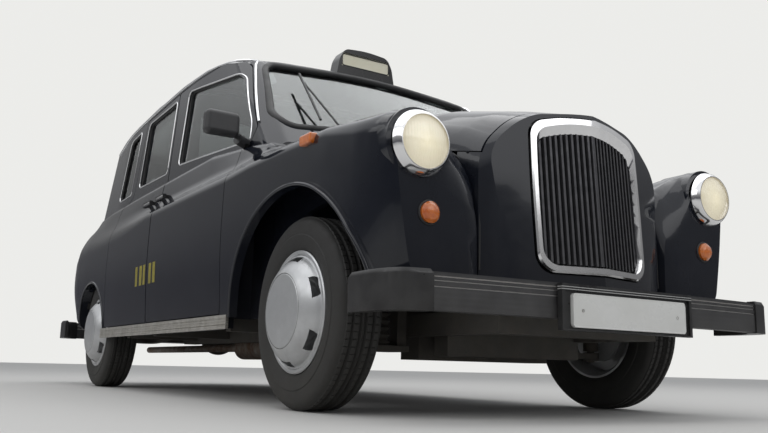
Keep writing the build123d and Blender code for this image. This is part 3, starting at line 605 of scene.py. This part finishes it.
polished("headlamp_rims", chrome, angle=35)
lens = finish("headlamp_lens", light=(0.93, 0.90, 0.80), dark=(0.88, 0.84, 0.70), smooth=0.05,
              rough=0.12, patch_scale=10.0, grain_scale=90.0, grain_depth=0.0006, dust=0.0,
              dust_top=0.01)
lens_tree = lens.node_tree
lens_low, lens_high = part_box("headlamp_lenses")
lens_radius = (lens_high.z - lens_low.z) / 2
lens_ys = [v.co.y for v in frame["nodes"]["headlamp_lenses"].data.vertices if v.co.y > 0]
lamp_y = (min(lens_ys) + max(lens_ys)) / 2
lamp_z = (lens_low.z + lens_high.z) / 2
either_y = math_node(lens_tree, "ABSOLUTE", object_axis(lens, "Y"))
from_y = math_node(lens_tree, "SUBTRACT", either_y, lamp_y)
from_z = math_node(lens_tree, "SUBTRACT", object_axis(lens, "Z"), lamp_z)
squares = math_node(lens_tree, "ADD", math_node(lens_tree, "MULTIPLY", from_y, from_y),
                    math_node(lens_tree, "MULTIPLY", from_z, from_z))
distance = math_node(lens_tree, "SQRT", squares)
off_centre = math_node(lens_tree, "DIVIDE", distance, lens_radius, True)
# Painted shade: the lens is darkened towards its rim.
rim_painted_shade = math_node(lens_tree, "POWER", off_centre, 4.0)
rim_shade_share = 0.55
tint(lens, math_node(lens_tree, "MULTIPLY", rim_painted_shade, rim_shade_share, True),
     colour=(0.55, 0.50, 0.38))
waves(lens, from_y, pitch=620.0, share=0.8)
waves(lens, from_z, pitch=210.0, share=0.5)
lens_shader = shader_of(lens)
lens_shader.inputs["Coat Weight"].default_value = 1.0
lens_shader.inputs["Coat Roughness"].default_value = 0.02
# Painted glow: the unlit lenses give light, brightest in the middle, in place of a lit bowl.
painted_glow = lens_tree.nodes.new("ShaderNodeMix")
painted_glow.data_type = "RGBA"
painted_glow.inputs["A"].default_value = (0.84, 0.72, 0.42, 1)
painted_glow.inputs["B"].default_value = (0.34, 0.27, 0.13, 1)
lens_tree.links.new(math_node(lens_tree, "POWER", off_centre, 0.8), painted_glow.inputs["Factor"])
lens_tree.links.new(painted_glow.outputs["Result"], lens_shader.inputs["Emission Color"])
lens_shader.inputs["Emission Strength"].default_value = 0.5
polished("headlamp_lenses", lens, angle=40)

amber = finish("amber_lens", light=(0.74, 0.19, 0.012), dark=(0.52, 0.10, 0.006), smooth=0.08,
               rough=0.18, patch_scale=30.0, grain_scale=500.0, grain_depth=0.0005, dust=0.1)
waves(amber, object_axis(amber, "Z"), pitch=1400.0, share=0.5)
shader_of(amber).inputs["Coat Weight"].default_value = 1.0
polished("indicator_lenses", amber, angle=40)
base_radius = 0.036
indicator_y = 0.655
indicator_z = 0.625
for label, side in sides:
    ring = []
    for step in range(40):
        turn = math.radians(9 * step)
        y = side * indicator_y + base_radius * math.cos(turn)
        z = indicator_z + base_radius * math.sin(turn)
        hit, place = panels["front_wings"].ray_cast(Vector((2.4, y, z)), Vector((-1, 0, 0)))[:2]
        ring.append((place.x + 0.001 if hit else 2.06, y, z))
    tube(ring, "indicator_base_" + label, rubber, "body", radius=0.0045, closed=True)

tail = finish("tail_lamp", light=(0.50, 0.012, 0.012), dark=(0.36, 0.006, 0.008), smooth=0.08,
              rough=0.2, patch_scale=25.0, grain_scale=400.0, grain_depth=0.0006, dust=0.15)
tail_z = object_axis(tail, "Z")
amber_above = 0.706
clear_below = 0.612
tint(tail, math_node(tail.node_tree, "GREATER_THAN", tail_z, amber_above),
     colour=(0.80, 0.25, 0.02))
tint(tail, math_node(tail.node_tree, "LESS_THAN", tail_z, clear_below), colour=(0.72, 0.71, 0.66))
waves(tail, tail_z, pitch=1100.0, share=0.7)
shader_of(tail).inputs["Coat Weight"].default_value = 1.0
polished("tail_lamps", tail, angle=35)


# ---- Bumpers ----
# Long ribbed rubber mouldings on a steel beam, with painted highlights as pale lines on the ribs.
# The end caps are smooth moulded plastic that wraps round the wings.
def painted_highlight_lines(material, heights, half_width, colour):
    """Level pale lines at these heights, painted highlights along ribs and edges."""
    tree = material.node_tree
    level = object_axis(material, "Z")
    for height in heights:
        off = math_node(tree, "ABSOLUTE", math_node(tree, "SUBTRACT", level, height))
        tint(material, math_node(tree, "LESS_THAN", off, half_width), colour)


bumper = finish("bumper_rubber", light=(0.026, 0.026, 0.028), dark=(0.044, 0.044, 0.046),
                smooth=0.38, rough=0.55, patch_scale=16.0, grain_scale=700.0, grain_depth=0.0003,
                dust=0.35, dust_top=0.55)
# The three pale lines are painted highlights along the tops of the ribs.
painted_highlight_lines(bumper, (0.383, 0.400, 0.4115), half_width=0.0016, colour=(0.60, 0.58, 0.56))
waves(bumper, object_axis(bumper, "Z"), pitch=380.0, share=0.6)
polished("bumpers", bumper, angle=30)
cap_finish = finish("cap_plastic", light=(0.013, 0.013, 0.014), dark=(0.024, 0.024, 0.025),
                    smooth=0.24, rough=0.40, patch_scale=10.0, grain_scale=800.0,
                    grain_depth=0.0002, dust=0.3, dust_top=0.55)
polished("bumper_ends", cap_finish, angle=34)


# ---- Number plates ----
# Blank white acrylic plates with rounded corners and a thin raised border are screwed into a
# moulded holder at the front and onto the body at the rear. Two pale lines along the holder's upper
# edge are painted highlights, as on the bumper.
holder_finish = finish("plate_holder", light=(0.016, 0.016, 0.017), dark=(0.028, 0.028, 0.029),
                       smooth=0.22, rough=0.38, patch_scale=12.0, grain_scale=700.0,
                       grain_depth=0.0002, dust=0.2, dust_top=0.5)
# The two pale lines are painted highlights along the holder's upper edge.
painted_highlight_lines(holder_finish, (0.4120, 0.4045), half_width=0.0011, colour=(0.45, 0.45, 0.44))
polished("plate_holder", holder_finish, angle=30)
plate_finish = finish("plate_white", light=(0.78, 0.78, 0.76), dark=(0.70, 0.70, 0.67), smooth=0.22,
                      rough=0.35, patch_scale=6.0, grain_scale=900.0, grain_depth=0.0001, dust=0.12,
                      dust_top=0.6)
plate_front_x = 2.2898
plate_rear_x = -2.2478
plates = copy_of("plates", "plates_pressed")
for edge in plates.data.edges:
    first, second = (plates.data.vertices[i].co for i in edge.vertices)
    run = abs(first.x - second.x)
    edge.select = run > 0.005 and (first - second).length - run < 0.00001
bpy.ops.object.mode_set(mode="EDIT")
bpy.ops.mesh.select_mode(type="EDGE")
bpy.ops.mesh.bevel(offset=0.011, segments=5, affect="EDGES")
bpy.ops.mesh.select_all(action="DESELECT")
bpy.ops.object.mode_set(mode="OBJECT")
choose_faces(plates, lambda face: face.normal.x * face.center.x > 1.0)
bpy.ops.mesh.dissolve_limited(angle_limit=0.02)
bpy.ops.mesh.inset(thickness=0.0035, depth=0.0)
bpy.ops.mesh.inset(thickness=0.0010, depth=-0.0010)
bpy.ops.object.mode_set(mode="OBJECT")
for vertex in plates.data.vertices:
    if vertex.co.x > 0:
        vertex.co.x = min(vertex.co.x, plate_front_x)
    else:
        vertex.co.x = max(vertex.co.x, plate_rear_x)
settle(plates, plate_finish, "body", angle=30)
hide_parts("plates")

screw_finish = finish("screw_heads", light=(0.60, 0.60, 0.58), dark=(0.42, 0.41, 0.39), smooth=0.25,
                      rough=0.45, patch_scale=60.0, grain_scale=900.0, grain_depth=0.0001,
                      metallic=1.0, dust=0.3)
for label, outward, face_x, low_y, high_y, screw_z in (
        ("front", 1, 2.2889, -0.208, 0.232, 0.3405), ("rear", -1, -2.2469, -0.220, 0.220, 0.537)):
    for end, screw_y in (("low", low_y), ("high", high_y)):
        bpy.ops.object.select_all(action="DESELECT")
        bpy.ops.mesh.primitive_cylinder_add(
            vertices=16, radius=0.0055, depth=0.0016,
            location=(face_x + outward * 0.0001, screw_y, screw_z),
            rotation=(0, math.radians(90 * outward), 0))
        screw = fresh_piece(f"plate_screw_{label}_{end}")
        choose_faces(screw, lambda face: face.normal.x * outward > 0.9)
        bpy.ops.mesh.inset(thickness=0.0012, depth=0.0)
        bpy.ops.mesh.inset(thickness=0.0012, depth=-0.0006)
        bpy.ops.object.mode_set(mode="OBJECT")
        settle(screw, screw_finish, "body", angle=30)


# ---- Sill strips ----
# Extruded aluminium treads run along both sills, brushed along their length with fine grooves.
# They are scuffed and dusty, because feet and spray reach them.
sill_finish = finish("sill_aluminium", light=(0.62, 0.60, 0.56), dark=(0.44, 0.42, 0.38),
                     smooth=0.24, rough=0.42, patch_scale=22.0, grain_scale=300.0,
                     grain_depth=0.0012, metallic=1.0, dust=0.5, dust_top=0.6)
waves(sill_finish, object_axis(sill_finish, "Z"), pitch=700.0, share=1.0)
polished("sill_strips", sill_finish, angle=30)


# ---- Roof sign ----
# A moulded black hood carries a blank cream face, held by a thin frame.
# The face is acrylic, a little yellowed in patches.
def rounded_line(x, low, high, corner):
    """Points round a rectangle with round corners, at one x."""
    points = []
    for y, z, first in ((high[0] - corner, high[1] - corner, 0),
                        (low[0] + corner, high[1] - corner, 90),
                        (low[0] + corner, low[1] + corner, 180),
                        (high[0] - corner, low[1] + corner, 270)):
        for step in range(7):
            turn = math.radians(first + 15 * step)
            points.append((x, y + corner * math.cos(turn), z + corner * math.sin(turn)))
    return points


sign_black = finish("sign_hood", light=(0.014, 0.014, 0.015), dark=(0.024, 0.024, 0.025),
                    smooth=0.18, rough=0.32, patch_scale=9.0, grain_scale=500.0, grain_depth=0.0001)
polished("roof_sign_housing", sign_black, angle=34)
sign_face = finish("sign_face", light=(0.84, 0.81, 0.66), dark=(0.78, 0.74, 0.56), smooth=0.16,
                   rough=0.3, patch_scale=7.0, grain_scale=600.0, grain_depth=0.0001)
polished("roof_sign_face", sign_face, angle=34)
tube(rounded_line(x=0.5685, low=(-0.141, 1.689), high=(0.141, 1.751), corner=0.012), "sign_frame",
     sign_black, "body", radius=0.0028, closed=True)


# ---- Door handles ----
# Moulded black pull handles have a bright insert along the face.
# They are fixed through the door skin with two stems.
handle_finish = finish("handle_black", light=(0.016, 0.016, 0.017), dark=(0.030, 0.030, 0.031),
                       smooth=0.2, rough=0.36, patch_scale=25.0, grain_scale=700.0,
                       grain_depth=0.0001)


def rounded_block(name, place, size, radius, segments):
    """A block with rounded edges."""
    bpy.ops.object.select_all(action="DESELECT")
    bpy.ops.mesh.primitive_cube_add(size=1, location=place, scale=size)
    piece = fresh_piece(name)
    bpy.ops.object.mode_set(mode="EDIT")
    bpy.ops.mesh.select_all(action="SELECT")
    bpy.ops.mesh.bevel(offset=radius, segments=segments, affect="EDGES")
    bpy.ops.object.mode_set(mode="OBJECT")
    return piece


for end, middle_x in (("front", -0.095), ("rear", -0.325)):
    for label, side in sides:
        polished(f"handle_{end}_{label}", handle_finish, angle=30)
        insert = rounded_block(f"handle_insert_{end}_{label}",
                               place=(middle_x, side * 0.8418, 1.004), size=(0.106, 0.0024, 0.010),
                               radius=0.0010, segments=2)
        settle(insert, chrome, f"door_{end}_{label}_body", angle=40)


# ---- Mirrors ----
# Deep moulded housings of dark grey plastic on short arms with a broad foot on the door.
# A silvered glass sits in the back of each housing.
mirror_finish = finish("mirror_plastic", light=(0.030, 0.030, 0.032), dark=(0.048, 0.048, 0.050),
                       smooth=0.38, rough=0.52, patch_scale=14.0, grain_scale=900.0,
                       grain_depth=0.0003)
silvered = finish("mirror_silver", light=(0.86, 0.87, 0.88), dark=(0.80, 0.81, 0.82), smooth=0.02,
                  rough=0.06, patch_scale=5.0, grain_scale=100.0, grain_depth=0.00001, metallic=1.0)
for label, side in sides:
    polished("mirror_" + label, mirror_finish, angle=34)
    mirror_glass = rounded_block("mirror_glass_" + label, place=(0.8955, side * 0.905, 1.147),
                                 size=(0.0015, 0.132, 0.086), radius=0.0006, segments=1)
    settle(mirror_glass, silvered, f"door_front_{label}_body", angle=30)


# ---- Wipers ----
# Two sprung arms in black enamel carry rubber blades that rest on the screen.
# Each arm is fixed at its foot, below the screen.
def refinish(node, material):
    """Puts a finish on a node that keeps its own mesh."""
    slots = frame["nodes"][node].data.materials
    for slot in range(len(slots)):
        slots[slot] = material


wiper_finish = finish("wiper_black", light=(0.012, 0.012, 0.013), dark=(0.022, 0.022, 0.023),
                      smooth=0.3, rough=0.5, patch_scale=30.0, grain_scale=900.0,
                      grain_depth=0.0001)
refinish("wipers", wiper_finish)


# ---- Door decals ----
# Plain yellow bars of worn adhesive film are stuck low on the kerb-side doors, across their shut
# line. Each lies flat on its own door.
decal = finish("decal_yellow", light=(0.34, 0.29, 0.03), dark=(0.20, 0.17, 0.02), smooth=0.35,
               rough=0.6, patch_scale=30.0, grain_scale=900.0, grain_depth=0.0001, dust=0.3)
shut_line_x = -0.19
decal_spans = ((-0.392, -0.352), (-0.316, -0.270), (-0.250, -0.212), (-0.150, -0.108),
               (-0.084, -0.040))
decal_height = 0.106
decal_z = 0.609
film_lift = 0.0004
door_y = 0.8554
for number, (low_x, high_x) in enumerate(decal_spans, start=1):
    bpy.ops.object.select_all(action="DESELECT")
    bpy.ops.mesh.primitive_grid_add(
        x_subdivisions=4, y_subdivisions=8, size=1,
        location=((low_x + high_x) / 2, 0, decal_z), rotation=(math.radians(90), 0, 0))
    bar = fresh_piece(f"door_decal_{number}", scale=(high_x - low_x, decal_height, 1))
    for vertex in bar.data.vertices:
        place = on_side(vertex.co.x, vertex.co.z, -1)
        vertex.co.y = place.y - film_lift if place is not None else -door_y
    door = "door_rear_right_body" if high_x < shut_line_x else "door_front_right_body"
    settle(bar, decal, door, angle=40)


# ---- Wheels ----
# Steel wheels under pressed hub covers in silver enamel, with slots and a raised middle; the
# covers have fine metallic flake and brake dust. The tyres have four grooves between cut blocks,
# and rounded walls that end in a rim bead.
wheel_finish = finish("wheel_silver", light=(0.60, 0.61, 0.62), dark=(0.50, 0.51, 0.52),
                      smooth=0.26, rough=0.40, patch_scale=12.0, grain_scale=1400.0,
                      grain_depth=0.00008, metallic=0.55, dust=0.35, dust_top=0.7,
                      dust_colour=(0.20, 0.17, 0.14))
tyre_rubber = finish("tyre_rubber", light=(0.014, 0.014, 0.014), dark=(0.024, 0.023, 0.022),
                     smooth=0.62, rough=0.82, patch_scale=18.0, grain_scale=600.0,
                     grain_depth=0.0006, dust=0.18, dust_top=0.75, dust_colour=(0.13, 0.12, 0.10))
seam_radius = 0.131
tread_steps = 84
block_floor = 0.3335
tread_half = [(-0.93, 0.3120), (-0.885, 0.3215), (-0.80, 0.3310), (-0.70, 0.3345), (-0.50, 0.3350),
              (-0.46, 0.3285), (-0.42, 0.3285), (-0.38, 0.3352), (-0.17, 0.3358), (-0.13, 0.3290),
              (-0.07, 0.3290), (-0.03, 0.3358)]
wall_half = [(-0.72, 0.0), (-0.80, 0.008), (-0.86, 0.016), (-0.90, 0.020), (-0.95, 0.034),
             (-0.985, 0.052), (-0.995, 0.066), (-0.965, 0.070), (-0.97, 0.078)]
for end, hub_x in (("front", 1.500), ("rear", -1.312)):
    for label, side in sides:
        cover = polished(f"wheel_{end}_{label}", wheel_finish, angle=30)
        seam = []
        for step in range(60):
            turn = math.radians(6 * step)
            x = hub_x + seam_radius * math.cos(turn)
            z = hub_z + seam_radius * math.sin(turn)
            hit, place = cover.ray_cast(Vector((x, side * 1.2, z)), Vector((0, -side, 0)))[:2]
            if hit:
                seam.append((x, place.y - side * 0.0004, z))
        tube(seam, f"wheel_seam_{end}_{label}", rubber, f"wheel_{end}_{label}_body",
             radius=0.0012, closed=True)

        node = f"tyre_{end}_{label}"
        low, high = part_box(node)
        middle = (low.y + high.y) / 2
        half = (high.y - low.y) / 2
        bead = min(math.hypot(v.co.x - hub_x, v.co.z - hub_z)
                   for v in frame["nodes"][node].data.vertices)
        profile = [(y, bead + rise) for y, rise in wall_half] + tread_half
        profile = profile + [(-y, radius) for y, radius in reversed(profile)]
        bpy.ops.object.select_all(action="DESELECT")
        bpy.ops.mesh.primitive_plane_add(size=0.01, location=(0, 0, 0))
        tyre = fresh_piece(node + "_tread")
        bpy.ops.object.mode_set(mode="EDIT")
        bpy.ops.mesh.select_all(action="SELECT")
        bpy.ops.mesh.delete(type="VERT")
        bpy.ops.object.mode_set(mode="OBJECT")
        ring = [(hub_x, middle + y * half, hub_z + radius) for y, radius in profile]
        tyre.data.from_pydata(ring, [(i, (i + 1) % len(ring)) for i in range(len(ring))], [])
        bpy.ops.object.mode_set(mode="EDIT")
        bpy.ops.mesh.select_all(action="SELECT")
        bpy.ops.mesh.spin(steps=tread_steps, dupli=False, angle=math.tau,
                          center=(hub_x, 0, hub_z), axis=(0, 1, 0))
        bpy.ops.mesh.select_all(action="SELECT")
        bpy.ops.mesh.remove_doubles(threshold=0.0002)
        bpy.ops.mesh.normals_make_consistent(inside=False)
        bpy.ops.object.mode_set(mode="OBJECT")
        choose_faces(tyre, lambda face: len(face.vertices) == 4 and block_floor < math.hypot(
            face.center.x - hub_x, face.center.z - hub_z))
        bpy.ops.mesh.inset(thickness=0.0022, depth=0.0040, use_individual=True)
        bpy.ops.object.mode_set(mode="OBJECT")
        settle(tyre, tyre_rubber, body_of[node], angle=32)
        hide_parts(node)


# ---- Seats ----
# The driver's chair and the rear bench are foam under dark grained vinyl with sewn channels.
# Each cushion is crowned, pulls in between its corners and has rolled edges.
vinyl = finish("seat_vinyl", light=(0.040, 0.040, 0.043), dark=(0.058, 0.058, 0.062), smooth=0.34,
               rough=0.52, patch_scale=9.0, grain_scale=420.0, grain_depth=0.0009, dust=0.0,
               dust_top=0.01)
swell = 0.020
channel_dip = 0.011
channel_width = 0.16
crown_power = 2.2
crown_from = 0.2


def cushion(name, low, high, along, top, channels):
    """A stuffed block: crowned on its top axis, pulled in at its sides, sewn across along."""
    low = Vector(low)
    high = Vector(high)
    middle = (low + high) / 2
    size = high - low
    piece = rounded_block(name, place=middle, size=size * 0.985, radius=min(size) * 0.28,
                          segments=4)
    bpy.ops.object.mode_set(mode="EDIT")
    bpy.ops.mesh.select_all(action="SELECT")
    bpy.ops.mesh.subdivide(number_cuts=5)
    bpy.ops.object.mode_set(mode="OBJECT")
    bpy.ops.object.modifier_add(type="REMESH")
    piece.modifiers[-1].mode = "VOXEL"
    piece.modifiers[-1].voxel_size = 0.009
    bpy.ops.object.modifier_apply(modifier=piece.modifiers[-1].name)
    rest = 3 - along - top
    for vertex in piece.data.vertices:
        place = vertex.co - middle
        u = place[along] / (size[along] / 2)
        w = place[rest] / (size[rest] / 2)
        t = place[top] / (size[top] / 2)
        pull = swell * (1 - abs(t)) * (1 - min(1, abs(u)) ** 4)
        if abs(w) > 0.86:
            vertex.co[rest] -= math.copysign(pull * 0.5, w)
        if t > crown_from:
            seam = abs(math.sin(math.pi * channels * (u + 1) / 2))
            crown = (1 - min(1, abs(u)) ** crown_power) * (1 - min(1, abs(w)) ** crown_power)
            sewn = abs(u) < 0.93 and abs(w) < 0.90
            dip = channel_dip * math.exp(-(seam / channel_width) ** 2) if sewn else 0.0
            vertex.co[top] -= (swell * (1 - crown) + dip) * (t - crown_from) / (1 - crown_from)
    settle(piece, vinyl, "body", angle=60)
    return piece


chair = cushion("driver_cushion", low=(-0.055, -0.595, 0.562), high=(0.418, -0.145, 0.690), along=1,
                top=2, channels=5)
cushion("driver_squab", low=(-0.188, -0.595, 0.600), high=(-0.072, -0.145, 1.178), along=1, top=0,
        channels=5)
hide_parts("front_seat")
bench = cushion("bench_cushion", low=(-1.328, -0.588, 0.612), high=(-0.822, 0.588, 0.740), along=1,
                top=2, channels=9)
cushion("bench_back", low=(-1.478, -0.588, 0.640), high=(-1.312, 0.588, 1.188), along=1, top=0,
        channels=9)
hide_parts("rear_seat")


# ---- Cabin ----
# Moulded dark grey trim: dashboard, partition and steering wheel, all with a fine leather grain.
# The floor is covered with ribbed rubber.
trim_grey = finish("interior_grey", light=(0.11, 0.11, 0.115), dark=(0.085, 0.085, 0.09),
                   smooth=0.45, rough=0.62, patch_scale=10.0, grain_scale=700.0, grain_depth=0.0006,
                   dust=0.0, dust_top=0.01)
wheel_rim = finish("steering_black", light=(0.018, 0.018, 0.019), dark=(0.030, 0.030, 0.031),
                   smooth=0.35, rough=0.5, patch_scale=15.0, grain_scale=800.0, grain_depth=0.0005)
floor_mat = finish("floor_mat", light=(0.035, 0.035, 0.036), dark=(0.055, 0.052, 0.048), smooth=0.6,
                   rough=0.8, patch_scale=16.0, grain_scale=500.0, grain_depth=0.0015, dust=0.3,
                   dust_top=0.8)
waves(floor_mat, object_axis(floor_mat, "Y"), pitch=420.0, share=1.0)
refinish("dashboard", trim_grey)
refinish("partition", trim_grey)
refinish("steering_wheel", wheel_rim)
refinish("floor_pan", floor_mat)


# ---- Running gear ----
# Welded box frame in black paint, cast iron axle, engine and knuckles, and a rusty steel exhaust.
# All of it is matt with road dirt, heavier towards the ground.
chassis = finish("chassis_black", light=(0.022, 0.022, 0.022), dark=(0.045, 0.040, 0.034),
                 smooth=0.55, rough=0.8, patch_scale=12.0, grain_scale=260.0, grain_depth=0.0008,
                 dust=0.5, dust_top=0.7)
iron = finish("cast_iron", light=(0.075, 0.072, 0.070), dark=(0.11, 0.085, 0.065), smooth=0.6,
              rough=0.85, patch_scale=18.0, grain_scale=320.0, grain_depth=0.0012, metallic=0.4,
              dust=0.45, dust_top=0.7)
pipe_steel = finish("exhaust_steel", light=(0.24, 0.22, 0.20), dark=(0.16, 0.085, 0.045),
                    smooth=0.45, rough=0.85, patch_scale=20.0, grain_scale=380.0,
                    grain_depth=0.0008, metallic=0.7, dust=0.4, dust_top=0.6)
for material, nodes in ((chassis, ("chassis_frame", "front_suspension", "fuel_tank")),
                        (iron, ("engine_block", "knuckle_left", "knuckle_right", "rear_axle")),
                        (pipe_steel, ("propshaft", "exhaust"))):
    for node in nodes:
        refinish(node, material)
